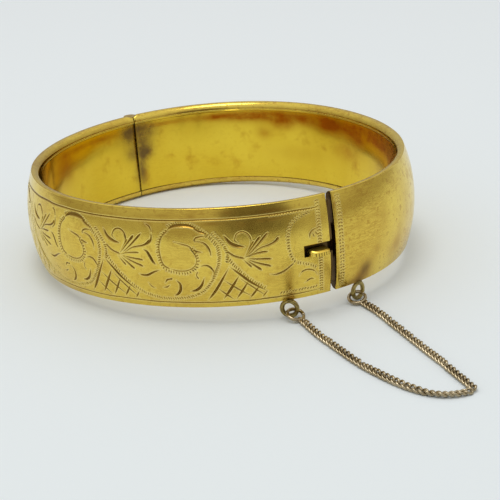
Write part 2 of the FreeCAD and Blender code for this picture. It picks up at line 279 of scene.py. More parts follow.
# ---- engraving ----
CUT_SLOPE = 1.25  # depth of a cut for each mm of half width
CUT_LIMIT = 0.20
CUT_MARGIN = 0.15  # reach of a burr beyond a cut
BURR_WIDTH = 0.06
BURR_HEIGHT = 0.018


def smooth_line(spots, pieces=6):
    """Points on a Catmull-Rom curve through spots."""
    spots = np.asarray(spots, float)
    padded = np.vstack([2 * spots[0] - spots[1], spots, 2 * spots[-1] - spots[-2]])
    line = []
    for a, b, c, d in zip(padded, padded[1:], padded[2:], padded[3:]):
        for share in np.arange(pieces) / pieces:
            line.append(0.5 * (2 * b + (c - a) * share + (2 * a - 5 * b + 4 * c - d) * share ** 2
                               + (3 * b - a - 3 * c + d) * share ** 3))
    line.append(spots[-1])
    return np.array(line)


def cut_width(style, share):
    """Half width along a cut as a share of its widest."""
    if style == "petal":
        return (0.15 + 0.85 * share ** 0.8) * np.minimum(1, (1 - share) / 0.12 + 0.1)
    if style == "leaf":
        return np.maximum(0.12, np.sin(math.pi * share) ** 0.7)
    return np.minimum(1, np.minimum(share, 1 - share) / 0.1 + 0.4)


class Surface:
    """Depth of the engraving over a grid of points on the face of one half."""

    def __init__(self, s, z):
        self.s = s
        self.z = z
        self.depth = np.zeros(s.shape)
        self.near = np.full(s.shape, -1.0)
        self.s_line = s[:, s.shape[1] // 2]
        self.z_line = z[s.shape[0] // 2]

    def cut(self, spots, width, style="hair"):
        """One stroke of the graver through spots, of a half width and a style."""
        line = smooth_line(spots) if len(spots) > 2 else np.linspace(spots[0], spots[1], 5)
        share = np.linspace(0, 1, len(line))
        half = width * cut_width(style, share)
        reach = width + CUT_MARGIN
        beside = reach + CLASP_BOW + CLASP_WORN
        rows = np.searchsorted(self.s_line, [line[:, 0].min() - beside, line[:, 0].max() + beside])
        columns = np.searchsorted(self.z_line, [line[:, 1].min() - reach, line[:, 1].max() + reach])
        window = (slice(*rows), slice(*columns))
        s = self.s[window]
        z = self.z[window]
        if s.size == 0:
            return
        best = self.near[window]
        for a, b, half_a, half_b in zip(line, line[1:], half, half[1:]):
            run = b - a
            along = ((s - a[0]) * run[0] + (z - a[1]) * run[1]) / max(float(run @ run), 1e-9)
            along = np.clip(along, 0, 1)
            away = np.hypot(s - a[0] - along * run[0], z - a[1] - along * run[1])
            here = CUT_SLOPE * (half_a + (half_b - half_a) * along - away)
            best = np.maximum(best, here)
        self.near[window] = best
        self.depth[window] = np.clip(best, 0, CUT_LIMIT)

    def ridge(self):
        """Share of the raised burr just outside each cut, which the material also paints light as a painted
        highlight.
        """
        outside = -self.near / CUT_SLOPE
        return np.clip(1 - np.abs(outside - BURR_WIDTH) / BURR_WIDTH, 0, 1)

    def ticks(self, spots, length, lean, pitch, width):
        """Row of short cuts along a line, as a rocked graver leaves."""
        line = smooth_line(spots, 10)
        run = np.hypot(*np.diff(line, axis=0).T)
        far = np.concatenate([[0], np.cumsum(run)])
        for place in np.arange(0, far[-1], pitch):
            place = place + chance.uniform(-0.04, 0.04)
            spot = point_at(line, far, place)
            along = point_at(line, far, place + 0.1) - point_at(line, far, place - 0.1)
            angle = math.atan2(along[1], along[0]) + lean + chance.uniform(-0.12, 0.12)
            arm = np.array([math.cos(angle), math.sin(angle)]) * length * chance.uniform(0.85, 1.1)
            self.cut([spot, spot + arm], width, "leaf")


# One repeat of the ornament, placed from the middle of its medallion: (style, half width, points).
MEDALLION = [
    ("leaf", 0.26, [(-1.5, 12.15), (-0.6, 12.72), (1.0, 12.85), (2.2, 12.6), (3.0, 12.1)]),
    ("leaf", 0.13, [(2.2, 12.5), (3.2, 11.95), (4.3, 11.6)]),
    ("hair", 0.07, [(-1.4, 12.1), (-2.3, 11.2), (-2.7, 9.8), (-2.6, 8.2), (-2.2, 7.0), (-1.3, 6.4)]),
    ("hair", 0.05, [(-1.3, 6.4), (0.0, 6.15), (1.2, 6.3), (2.1, 6.9), (2.45, 7.7), (2.3, 8.7), (1.7, 9.6)]),
    ("leaf", 0.08, [(-0.6, 10.6), (0.7, 10.2), (1.6, 9.9), (2.1, 9.4)]),
    ("leaf", 0.09, [(2.5, 10.5), (2.5, 11.0), (3.2, 11.25), (4.2, 11.3)]),
    ("leaf", 0.09, [(2.6, 10.7), (3.8, 10.3), (4.5, 9.4), (4.7, 8.3)]),
    ("leaf", 0.10, [(2.1, 9.5), (2.6, 9.15), (3.4, 9.0)]),
    ("leaf", 0.09, [(2.9, 6.9), (3.6, 7.05), (4.3, 6.8), (4.8, 6.0), (4.7, 5.4)]),
    ("hair", 0.05, [(2.4, 5.9), (2.2, 5.3), (2.5, 4.8)]),
    ("leaf", 0.17, [(3.4, 5.1), (2.8, 3.7), (2.0, 3.0), (1.2, 2.85)]),
    ("leaf", 0.17, [(-0.7, 4.7), (-0.2, 4.0), (-0.3, 3.0), (-0.8, 2.3), (-1.3, 2.1)]),
    ("leaf", 0.10, [(-2.4, 4.2), (-2.0, 4.8), (-1.3, 4.9)]),
    ("hair", 0.10, [(-1.55, 4.87), (-1.35, 4.87)]),
    ("leaf", 0.07, [(-2.9, 3.4), (-2.3, 3.5), (-1.8, 3.9)]),
    ("leaf", 0.07, [(-5.0, 4.0), (-4.6, 3.4), (-4.0, 3.1)]),
    ("leaf", 0.14, [(-6.3, 5.4), (-5.8, 5.2), (-5.0, 5.25), (-4.0, 5.8), (-3.0, 6.2)]),
    ("leaf", 0.16, [(-5.2, 9.3), (-4.6, 8.9), (-4.2, 8.2), (-3.8, 7.4), (-3.4, 7.0)]),
    ("leaf", 0.12, [(-4.9, 9.8), (-4.2, 10.3), (-3.9, 11.0), (-3.9, 11.9)]),
    ("leaf", 0.10, [(-4.9, 13.1), (-4.2, 12.6), (-3.9, 11.9)]),
]
MEDALLION_RINGS = MEDALLION[2:4]
FERN = [
    ("petal", 0.10, [(-8.9, 8.7), (-8.2, 9.9), (-7.6, 10.8)]),
    ("petal", 0.16, [(-8.8, 8.6), (-7.6, 10.1), (-6.6, 11.3)]),
    ("petal", 0.17, [(-8.6, 8.6), (-7.2, 9.9), (-5.5, 11.7)]),
    ("petal", 0.17, [(-8.5, 8.5), (-7.0, 9.6), (-5.4, 10.0), (-4.6, 10.4), (-4.1, 11.0)]),
    ("petal", 0.13, [(-9.0, 8.4), (-7.5, 8.75), (-5.7, 8.9)]),
    ("petal", 0.14, [(-8.8, 8.3), (-7.2, 8.0), (-5.3, 7.8)]),
    ("petal", 0.14, [(-8.7, 8.2), (-7.2, 7.4), (-5.4, 6.7)]),
    ("petal", 0.14, [(-8.9, 8.1), (-7.8, 7.1), (-6.8, 6.2)]),
    ("petal", 0.10, [(-9.3, 8.2), (-8.7, 7.5), (-8.1, 6.8)]),
    ("hair", 0.09, [(-11.3, 9.6), (-10.3, 8.8), (-9.0, 8.35)]),
    ("leaf", 0.22, [(-11.7, 11.9), (-10.9, 10.7), (-9.9, 10.15), (-8.9, 10.0)]),
    ("leaf", 0.10, [(-9.7, 10.6), (-10.2, 11.1), (-9.9, 11.9), (-9.1, 12.15), (-8.4, 11.8), (-8.0, 11.1),
                    (-8.1, 10.3), (-8.6, 9.3)]),
]
BORDER = [
    (-1.6, 13.1), (-0.6, 13.45), (0.8, 13.5), (2.3, 13.2), (3.8, 12.3), (4.9, 11.3), (5.7, 10.3),
    (6.0, 9.0), (5.9, 7.6), (5.5, 6.2), (4.6, 4.4), (3.2, 2.7), (1.3, 1.75), (-0.7, 1.35), (-2.8, 1.3),
    (-4.8, 1.7), (-6.6, 2.5), (-8.2, 3.8), (-9.5, 5.1), (-10.7, 6.6), (-11.6, 8.0),
]
INNER_BORDER = [(7.0, 7.4), (7.1, 8.6), (6.9, 9.6), (6.2, 10.8), (5.2, 12.0)]
LATTICE = [
    ("leaf", 0.17, [(3.5, 1.35), (4.9, 3.2), (6.9, 6.6)]),
    ("leaf", 0.16, [(5.7, 1.35), (6.9, 3.1), (8.2, 5.2)]),
    ("leaf", 0.14, [(7.5, 1.25), (8.5, 2.7), (9.4, 4.2)]),
    ("leaf", 0.12, [(9.5, 1.4), (10.2, 2.3), (10.9, 3.3)]),
    ("leaf", 0.09, [(11.3, 1.3), (12.1, 2.4)]),
    ("leaf", 0.14, [(7.0, 6.9), (8.6, 5.3), (9.9, 4.0), (12.2, 2.2)]),
    ("leaf", 0.09, [(5.8, 4.9), (7.9, 3.1), (10.0, 1.5)]),
    ("leaf", 0.08, [(5.0, 3.4), (6.2, 2.2), (7.3, 1.2)]),
    ("leaf", 0.08, [(8.1, 5.0), (10.2, 3.0), (12.0, 1.3)]),
]
AT_CLASP = [
    ("leaf", 0.08, [(-4.0, 9.4), (-3.9, 10.1), (-3.3, 10.6), (-2.3, 10.8)]),
    ("hair", 0.06, [(-3.1, 10.3), (-2.7, 9.7)]),
    ("hair", 0.06, [(-3.5, 10.1), (-3.3, 9.6)]),
    ("leaf", 0.08, [(-5.8, 3.9), (-5.3, 4.6), (-4.4, 4.7), (-3.5, 4.3), (-3.0, 3.5)]),
    ("leaf", 0.10, [(-10.0, 4.95), (-9.1, 4.8), (-8.0, 5.1), (-7.0, 5.8), (-6.3, 6.4)]),
    ("leaf", 0.08, [(-5.0, 2.6), (-4.1, 3.1), (-3.4, 2.9)]),
]
CLASP_BORDER = [
    (-2.2, 13.2), (-3.6, 13.0), (-5.0, 12.6), (-6.2, 11.9), (-6.8, 10.6), (-6.9, 9.0), (-6.7, 7.6),
    (-6.2, 6.6), (-5.2, 6.1), (-4.2, 5.7), (-3.2, 5.1), (-2.2, 4.8),
]
REPEAT = 18.2
FIRST_MEDALLION = -22.5
REPEATS = 5
UPPER_LINE = 13.65
LOWER_LINE = 0.95
FIELD_END = -2.3  # the ornament stops here, at the clasp's column of ticks
FIELD_START = S_AT_HINGE[-1] + 2.6
HAND_DRIFT = 0.05  # strokes stray this much from the drawing
WIDER = 0.035  # strokes of a motif are worn wider by this
CLASP_WIDER = 0.03
TICK_WIDTH = 0.10
# Rows of ticks: length, lean from the line's own direction, and pitch.
BORDER_TICKS = (0.66, -1.2, 0.36)
INNER_TICKS = (0.55, 1.25, 0.36)
RING_TICKS = (0.60, -1.35, 0.38)
CLASP_TICKS = (0.52, -1.3, 0.42)
PART_BORDER = 16  # the border of the half repeat at the clasp starts at this point
PART_LIFT = -0.45
LATER_SHIFT = 0.7  # after the first repeat the lattice stands this much nearer the hinge
LATER_LATTICE = 0.12  # and is drawn this much taller
LATER_FERN = 0.03
# Rows beside the clasp and beside the hinge: points, then length, lean, pitch and half width.
HINGE_COLUMN = S_AT_HINGE[-1] + 1.7
EDGE_ROWS = [
    ([(-8.6, 1.35), (-5.0, 1.35), (-2.8, 1.35)], (0.55, 0.95, 0.45, 0.11)),
    ([(-9.5, 13.35), (-6.0, 13.4), (-2.8, 13.4)], (0.45, 1.1, 0.42, 0.11)),
    ([(-2.45 - clasp_bow(z), z) for z in (0.6, 4.0, 8.0, 12.0, 14.7)], (0.46, -1.15, 0.42, 0.10)),
    ([(-1.75 - clasp_bow(z), z) for z in (0.6, 4.0, 8.0, 12.0, 14.7)], (0.46, 1.15, 0.42, 0.10)),
    ([(HINGE_COLUMN, 0.5), (HINGE_COLUMN, 8.0), (HINGE_COLUMN, 14.9)], (0.42, -1.15, 0.40, 0.09)),
]
LINE_WIDTHS = ((UPPER_LINE, 0.13), (LOWER_LINE, 0.10))
LINE_END = -2.2
STITCH_SPANS = ((0.6, 1.5), (1.5, 14.6))
STITCH_COLUMNS = ((0.92, -1.0), (1.75, 1.0))
STITCH_LENGTH = 0.50
STITCH_PITCH = 0.50


def engrave(face):
    """All the cuts of the engraved half."""
    def place(motif, middle, lift, stretch):
        for style, width, spots in motif:
            drift = chance.normal(0, HAND_DRIFT, 2)
            moved = [(middle + x + drift[0], LOWER_LINE + (z - LOWER_LINE) * stretch + lift + drift[1])
                     for x, z in spots]
            if min(x for x, z in moved) > FIELD_START and max(x for x, z in moved) < FIELD_END:
                face.cut(moved, (width + WIDER) * chance.uniform(0.9, 1.1), style)

    def border(path, middle, ticks):
        spots = [(middle + x, z) for x, z in path if FIELD_START < middle + x < FIELD_END]
        if len(spots) > 2:
            face.ticks(spots, *ticks, TICK_WIDTH)

    for index in range(-1, REPEATS):
        middle = FIRST_MEDALLION - REPEAT * index
        later = index > 0
        if index >= 0:
            place(MEDALLION, middle, chance.uniform(-0.1, 0.1), 1.0)
            place(LATTICE, middle - LATER_SHIFT * later, 0, 1.0 + LATER_LATTICE * later)
            border(BORDER, middle, BORDER_TICKS)
            border(INNER_BORDER, middle, INNER_TICKS)
            for _, _, ring in MEDALLION_RINGS:
                border(ring, middle, RING_TICKS)
        else:
            border(BORDER[PART_BORDER:], middle, BORDER_TICKS)
        place(FERN, middle, PART_LIFT * (index < 0), 1.0 + LATER_FERN * later)

    for style, width, spots in AT_CLASP:
        face.cut(spots, width + CLASP_WIDER, style)
    border(CLASP_BORDER, 0, CLASP_TICKS)
    for spots, ticks in EDGE_ROWS:
        face.ticks(spots, *ticks)
    for height, width in LINE_WIDTHS:
        line = [(s, height + chance.normal(0, 0.03)) for s in np.arange(S_AT_HINGE[-1] + 2, -2.0, 2.5)]
        face.cut(line + [(LINE_END, height)], width)


def stitch(face):
    """Two columns of ticks on the plain half, beside the clasp."""
    for low, high in STITCH_SPANS:
        for column, lean in STITCH_COLUMNS:
            line = [(column - clasp_bow(z), z) for z in (low, (low + high) / 2, high)]
            face.ticks(line, STITCH_LENGTH, lean, STITCH_PITCH, TICK_WIDTH)


# ---- the two shells ----
UNEVEN = 0.004


def face_out(z):
    """The domed face's distance out from the rim corner."""
    half = MIDDLE - CORNER
    radius = (half ** 2 + DOME ** 2) / (2 * DOME)
    return np.sqrt(radius ** 2 - np.clip(z - MIDDLE, -half, half) ** 2) - (radius - DOME)


def shell_profile(dome_steps):
    """Section of a shell as (u, z): the outer skin from lip to lip, then the hidden side back down."""
    bend = np.radians(np.linspace(180, 270, LIP_STEPS))
    lip = np.stack([-WALL + LIP_DEPTH + LIP_DEPTH * np.cos(bend), LIP_HEIGHT + LIP_HEIGHT * np.sin(bend)], 1)
    turn = np.radians(np.linspace(270, 360, CORNER_STEPS))
    edge = np.stack([-CORNER + CORNER * np.cos(turn), CORNER + CORNER * np.sin(turn)], 1)
    spans = [(CORNER, SLOT_LOW), (SLOT_LOW, SLOT_HIGH), (SLOT_HIGH, BAND_HEIGHT - CORNER)]
    z = np.concatenate([np.linspace(a, b, max(2, round((b - a) / dome_steps)) + 1)[1:] for a, b in spans])
    dome = np.stack([face_out(z), z], 1)
    low = np.vstack([lip, edge])
    top = low[::-1] * (1, -1) + (0, BAND_HEIGHT)
    skin = np.vstack([low, dome[:-1], top])
    hidden_z = np.concatenate([np.linspace(BAND_HEIGHT - LIP_HEIGHT, SLOT_HIGH, HIDDEN_STEPS),
                               np.linspace(SLOT_HIGH, SLOT_LOW, SLOT_STEPS)[1:],
                               np.linspace(SLOT_LOW, LIP_HEIGHT, HIDDEN_STEPS)[1:]])
    hidden = np.stack([DOME * (1 - ((hidden_z - MIDDLE) / MIDDLE) ** 2) - SHELL_SHEET, hidden_z], 1)
    return skin, hidden


def wander(s, z):
    """Slight unevenness of worn, hand-finished sheet, as a sum of seven long waves."""
    total = np.zeros(np.broadcast(s, z).shape)
    for _ in range(7):
        wave = chance.uniform(0.15, 0.9)
        rise = chance.uniform(-0.5, 0.5)
        total = total + UNEVEN * np.sin(wave * s + rise * z + chance.uniform(0, 6.3)) / (0.5 + wave)
    return total


def spots_over(s, z, spots):
    """Sum of soft round spots."""
    total = np.zeros(s.shape)
    for at_s, at_z, wide, tall, strength in spots:
        total = total + strength * np.exp(-((s - at_s) / wide) ** 2 - ((z - at_z) / tall) ** 2)
    return np.clip(total, 0, 1)


def end_lines(side, u, z):
    """s of each section point at the clasp and at the hinge."""
    bow = clasp_bow(z) * np.clip((u + WALL) / WALL, 0, 1)
    worn = CLASP_WORN * (side < 0)
    at_clasp = s_where(side * CLASP_GAP / 2 - bow - worn, u, 0)
    hollow = np.sqrt(np.maximum(0, KNUCKLE_HOLLOW ** 2 - (u - AXIS_OUT) ** 2))
    at_hinge = s_where(side * np.maximum(HINGE_SEAM / 2, hollow), u, S_AT_HINGE[side])
    return at_clasp, at_hinge


def stations(side, u, z, base, hinge_u=None):
    """s for every station and section point: as in base, but moved to the end lines near both ends."""
    at_clasp, at_hinge = end_lines(side, u, z)
    if hinge_u is not None:
        at_hinge = s_where(side * hinge_u, u, S_AT_HINGE[side])
    base = base[:, None]
    clasp_base = base[nearest(base, 0)]
    hinge_base = base[np.argmax(np.abs(base))]
    near_clasp = np.clip(1 - np.abs(base - clasp_base) / END_FADE, 0, 1)
    near_hinge = np.clip(1 - np.abs(base - hinge_base) / END_FADE, 0, 1)
    return base + near_clasp * (at_clasp - clasp_base) + near_hinge * (at_hinge - hinge_base)


def make_shell(name, side, base, step, carve, stains, grime=()):
    """Shell of one half, with side -1 for the engraved half, which has the thumb slot."""
    skin, hidden = shell_profile(step)
    section = np.vstack([skin, hidden])
    skin_count = len(skin)
    width = len(section)
    u = section[:, 0]
    z = section[:, 1]
    s = stations(side, u, z, base)
    height = np.broadcast_to(z, s.shape)
    rows = len(base)
    dome = np.flatnonzero((np.arange(width) < skin_count) & (z > CORNER / 2) & (z < BAND_HEIGHT - CORNER / 2)
                          & (u > -CORNER))
    face = Surface(s[:, dome], height[:, dome].copy())
    carve(face)
    # Burr shares go to the material, which paints them light yellow: a painted highlight.
    burr = np.zeros(s.shape)
    burr[:, dome] = face.ridge()
    depth = np.zeros(s.shape)
    depth[:, dome] = face.depth - BURR_HEIGHT * face.ridge()
    out = np.broadcast_to(u, s.shape) - depth
    out[:, :skin_count] += wander(s[:, :skin_count], z[:skin_count])
    from_end = np.abs(s[:, dome] - s[nearest(base, 0), dome])
    rolled = np.clip(1 - from_end / END_ROUND, 0, 1)
    out[:, dome] -= END_ROUND * (1 - np.sqrt(1 - rolled ** 2))
    points = on_band(s, out, height).reshape(-1, 3)
    keep = np.ones((rows - 1, width - 1), bool)
    first_end, last_end = end_faces(rows, width)
    walls = []
    ends = [last_end]
    if side < 0:
        face_z = np.where(u[:skin_count] < 0, np.inf, z[:skin_count])
        skin_low = nearest(face_z, SLOT_LOW)
        skin_high = nearest(face_z, SLOT_HIGH)
        hid_high = skin_count + nearest(hidden[:, 1], SLOT_HIGH)
        hid_low = skin_count + nearest(hidden[:, 1], SLOT_LOW)
        slot_row = nearest(base, -SLOT_LENGTH)
        keep[slot_row:, skin_low:skin_high] = False
        keep[slot_row:, hid_high:hid_low] = False
        row = np.arange(slot_row, rows - 1) * width
        for a, b in ((skin_low, hid_low), (hid_high, skin_high)):
            walls.append(np.stack([row + a, row + a + width, row + b + width, row + b], 1))
        back_wall = np.r_[np.arange(skin_high, skin_low - 1, -1), np.arange(hid_low, hid_high - 1, -1)]
        walls.append((slot_row * width + back_wall)[None, :])
        ends = [last_end[:, np.r_[np.arange(0, skin_low + 1), np.arange(hid_low, width)]],
                last_end[:, skin_high:hid_high + 1]]
    faces = [grid_faces(0, rows, width, keep), seam_faces(rows, width), *walls, *ends, first_end]
    shine = ((height > UPPER_LINE + 0.1) | (height < LOWER_LINE - 0.1)) * float(side < 0)
    return mesh_object(name, points, faces, flat=range(1, len(faces)), shaded_edge_look=True,
                       attributes={"cut": np.clip(depth / CUT_LIMIT, 0, 1), "burr": burr, "shine": shine,
                                   "stain": spots_over(s, height, stains),
                                   "grime": spots_over(s, height, grime)})


def make_lining(name, side, base, stains, grime):
    """Flat inner sheet of one half, between the shell's two lips."""
    z = np.linspace(LIP_HEIGHT, BAND_HEIGHT - LIP_HEIGHT, LINING_STEPS)
    inside = np.stack([np.full(LINING_STEPS, -WALL + LIP_PROUD), z], 1)
    outside = np.stack([np.full(3, -WALL + LINING_SHEET), np.linspace(z[-1], z[0], 3)], 1)
    section = np.vstack([inside, outside])
    width = len(section)
    u = section[:, 0]
    s = stations(side, u, section[:, 1], base, HINGE_SEAM / 2)
    height = np.broadcast_to(section[:, 1], s.shape)
    out = np.broadcast_to(u, s.shape).copy()
    out[:, :LINING_STEPS] += 1.5 * wander(s[:, :LINING_STEPS], z)
    points = on_band(s, out, height).reshape(-1, 3)
    rows = len(base)
    faces = [grid_faces(0, rows, width), seam_faces(rows, width)] + end_faces(rows, width)
    # On the linings the stain spots include a painted band of shade and reflection just under the upper lip.
    return mesh_object(name, points, faces, flat=(1, 2, 3), shaded_edge_look=True,
                       attributes={"stain": spots_over(s, height, stains),
                                   "grime": spots_over(s, height, grime)})


# ---- rings and links ----
OFF_AXIS = (0.31, 0.47, 0.83)  # a direction that no wire starts in


def tube_along(path, radius, sides, closed):
    """Round wire along a path of points; closed ends if the path is open."""
    path = np.asarray(path, float)
    count = len(path)
    if closed:
        along = np.roll(path, -1, 0) - np.roll(path, 1, 0)
    else:
        along = np.gradient(path, axis=0)
    along = along / np.linalg.norm(along, axis=1)[:, None]
    side = np.cross(along[0], OFF_AXIS)
    frames = []
    for direction in along:
        side = unit(side - direction * (side @ direction))
        frames.append((side, np.cross(direction, side)))
    if closed:
        frame_side, frame_up = frames[0]
        last_side = frames[-1][0] - along[0] * (frames[-1][0] @ along[0])
        twist = math.atan2(last_side @ frame_up, last_side @ frame_side)
    else:
        twist = 0.0
    radius = np.broadcast_to(radius, (count,))
    turn = np.linspace(0, 2 * math.pi, sides, endpoint=False)
    rings = []
    for index, (first, second) in enumerate(frames):
        angle = turn - twist * index / count
        rings.append(path[index] + radius[index] * (np.outer(np.cos(angle), first)
                                                    + np.outer(np.sin(angle), second)))
    points = np.concatenate(rings)
    i, j = np.meshgrid(np.arange(count if closed else count - 1), np.arange(sides), indexing="ij")
    this = i * sides
    following = (i + 1) % count * sides
    around = (j + 1) % sides
    quads = np.stack([this + around, following + around, following + j, this + j], -1)
    faces = [quads.reshape(-1, 4)]
    if not closed:
        faces.append(np.arange(sides)[None, :])
        faces.append(((count - 1) * sides + np.arange(sides))[::-1][None, :])
    return points, faces


def eye_centre(turn):
    """Middle of an eye on the table, low enough for its rim to rest there."""
    s = float(np.interp(turn, TURNS, ARC))
    x, y = plan(s, EYE_IN)
    rest = TABLE_CLEARANCE + EYE_RADIUS + EYE_WIRE
    z = (rest - (x + HINGE_BACK) * math.sin(TILT)) / math.cos(TILT)
    return float(x), float(y), float(z)


def make_eye(name, turn, faces_to):
    """Soldered eye: a ring of wire with a flared foot of solder."""
    x, y, z = eye_centre(turn)
    angle = np.linspace(0, 2 * math.pi, 56, endpoint=False)
    across = np.array([-math.sin(faces_to), math.cos(faces_to)])
    reach = EYE_RADIUS * np.sin(angle)
    path = np.stack([x + reach * across[0], y + reach * across[1], z + EYE_RADIUS * np.cos(angle)], 1)
    wire = EYE_WIRE * (0.96 + 0.04 * np.sin(3 * angle + turn))
    ring = tube_along(path, wire, 20, True)
    levels = np.linspace(0, 1, 9)
    low = z + EYE_RADIUS - FOOT_SUNK
    spread = FOOT_NECK + FOOT_FLARE * levels ** 2.5
    foot_path = np.stack([np.full(9, x), np.full(9, y), low + (FOOT_TOP - low) * levels], 1)
    foot = tube_along(foot_path, spread, 24, False)
    points, groups = joined([ring, foot])
    points = settle(points[:, 0], points[:, 1], points[:, 2])
    return mesh_object(name, points, groups)


def make_jump_ring(name, turn, leads, split_at):
    """Jump ring of round wire, with the join a hair open."""
    x, y, z = eye_centre(turn)
    hole = settle(np.array(x), np.array(y), np.array(z)) - (0, 0, RING_DROP)
    lead = np.array([math.cos(leads) * math.cos(RING_PITCH), math.sin(leads) * math.cos(RING_PITCH),
                     -math.sin(RING_PITCH)])
    side = unit(np.cross([0, 0, 1], lead))
    angle = split_at + np.radians(np.linspace(2.0, 358.0, 60))
    middle = hole + lead * RING_RADIUS
    path = middle + RING_RADIUS * (np.outer(np.cos(angle), lead) + np.outer(np.sin(angle), side))
    taper = np.ones(60)
    taper[[0, -1]] = 0.8
    points, groups = tube_along(path, RING_WIRE * taper, 18, False)
    return mesh_object(name, points, groups)


def make_thumb_piece(name):
    """Rounded lozenge in plan, with a hatched outer face."""
    top = DOME + THUMB_PROUD
    outline = smooth_line([(THUMB_TO, THUMB_FOOT), (THUMB_TO, 0.9), (THUMB_TO, 1.4), (THUMB_TO + 0.10, 1.9),
                           (THUMB_TO + 0.45, top - 0.06), (THUMB_TO + 0.9, top), (THUMB_TO + 1.5, top),
                           (THUMB_TO + 2.1, top - 0.10), (THUMB_FROM - 0.4, top - 0.35),
                           (THUMB_FROM - 0.08, 1.55), (THUMB_FROM, 1.2), (THUMB_FROM, 0.8),
                           (THUMB_FROM, THUMB_FOOT)], 14)
    depth = outline[:, 0]
    out = outline[:, 1]
    middle = np.array([(THUMB_FROM + THUMB_TO) / 2, 1.3])
    levels = np.array([0.0, 0.03, 0.08, 0.16, 0.26, 0.36, 0.46, 0.56,
                       0.66, 0.74, 0.78, 0.82, 0.86, 0.89, 0.92, 0.93])
    low_bevel = THUMB_LOW_BEVEL * np.maximum(0, 1 - levels / THUMB_LOW_BEVEL) ** 2
    high_bevel = THUMB_HIGH_BEVEL * np.maximum(0, 1 - (levels[-1] - levels) / THUMB_HIGH_BEVEL) ** 1.5
    inset = low_bevel + high_bevel
    hatch = np.maximum(0, np.cos(2 * math.pi * depth / THUMB_HATCH_PITCH)) ** 3
    hatch = hatch * np.clip((out - 1.5) / 0.5, 0, 1)
    rings = []
    cuts = []
    for level, back in zip(levels, inset):
        bite = hatch * THUMB_HATCH_DEPTH * float(0.1 < level < 0.70)
        d = middle[0] + (depth - middle[0]) * (1 - back / 1.6)
        u = middle[1] + (out - middle[1]) * (1 - back / 0.5) - bite
        radius = HINGE_BACK + AXIS_OUT + float(corner_radius(0.0)) + u
        x = -HINGE_BACK - AXIS_OUT + np.sqrt(radius ** 2 - d ** 2)
        slope = -0.15 * (u - 1.2) * level / levels[-1]
        rings.append(settle(x, -d, THUMB_LOW + level + slope))
        # The hatch grooves' share is painted dark by the material: painted shade.
        cuts.append(bite / THUMB_HATCH_DEPTH)
    rows = len(levels)
    width = len(outline)
    points = np.concatenate(rings)
    faces = [grid_faces(0, rows, width), seam_faces(rows, width)] + end_faces(rows, width)
    return mesh_object(name, points, faces, flat=(1, 2, 3), attributes={"cut": np.concatenate(cuts)})


def link_path():
    """Centre line of one twisted curb link along +X."""
    angle = np.linspace(0, 2 * math.pi, 26, endpoint=False)
    roll = LINK_TWIST * np.cos(angle)
    width = LINK_SIDE * np.sin(angle)
    return np.stack([LINK_HALF * np.cos(angle), width * np.cos(roll), width * np.sin(roll)], 1)


def route_points(name, route):
    """Points along the route's own spline, in metres."""
    heights = [*ROUTE_START, *[ROUTE_HEIGHT] * (len(route) - len(ROUTE_START))]
    curve = bpy.data.curves.new(name, "CURVE")
    curve.dimensions = "3D"
    curve.resolution_u = 24
    spline = curve.splines.new("NURBS")
    spline.points.add(len(route) - 1)
    for point, spot, height in zip(spline.points, route, heights):
        point.co = (*spot, height, 1.0)
    spline.order_u = 3
    spline.use_endpoint_u = True
    holder = put(name, curve)
    bpy.context.view_layer.update()
    evaluated = holder.evaluated_get(bpy.context.evaluated_depsgraph_get())
    mesh = bpy.data.meshes.new_from_object(evaluated)
    points = np.array([v.co for v in mesh.vertices])
    bpy.data.objects.remove(holder)
    bpy.data.curves.remove(curve)
    bpy.data.meshes.remove(mesh)
    return points


def make_chain(name, route):
    """Curb links along the route, each lying on the table."""
    path = route_points(name + "_route", route)
    far = np.concatenate([[0], np.cumsum(np.linalg.norm(np.diff(path, axis=0), axis=1))])
    length = far[-1]
    pitch = LINK_PITCH * MM
    count = int(round(length / pitch))
    places = np.linspace(0.2 * pitch, length - 0.2 * pitch, count)
    shape = link_path()
    parts = []
    lean = 0.0
    for index, place in enumerate(places):
        centre = point_at(path, far, place) / MM
        along = unit(point_at(path, far, place + pitch / 2) - point_at(path, far, place - pitch / 2))
        side = unit(np.cross([0, 0, 1], along))
        up = np.cross(along, side)
        lean = 0.8 * lean + chance.normal(0, ROLL_DRIFT)
        roll = LINK_ROLL + ROLL_SWING * math.sin(index * ROLL_WAVE) + lean
        across = side * math.cos(roll) + up * math.sin(roll)
        rise = np.cross(along, across)
        yaw = chance.normal(0, LINK_YAW)
        turned = shape @ np.array([[math.cos(yaw), math.sin(yaw), 0],
                                   [-math.sin(yaw), math.cos(yaw), 0],
                                   [0, 0, 1]])
        wire = centre + turned @ np.stack([along, across, rise])
        wire[:, 2] -= min(LINK_DROP, wire[:, 2].min() - LINK_WIRE - LINK_LIFT)
        parts.append(tube_along(wire, LINK_WIRE, 10, True))
    points, faces = joined(parts)
    return mesh_object(name, points, faces), [tuple(map(float, point)) for point in path], float(length)


# ---- materials ----
GOLD = (0.88, 0.665, 0.115)
GOLD_SHADE = (0.77, 0.545, 0.09)
TARNISH = (0.42, 0.21, 0.03)
GRIME = (0.21, 0.135, 0.045)
# Light yellow painted on the burrs beside the cuts: a painted highlight.
BURR_HIGHLIGHT_COLOUR = (1.0, 0.88, 0.42)
SHINE_GAIN = 0.09
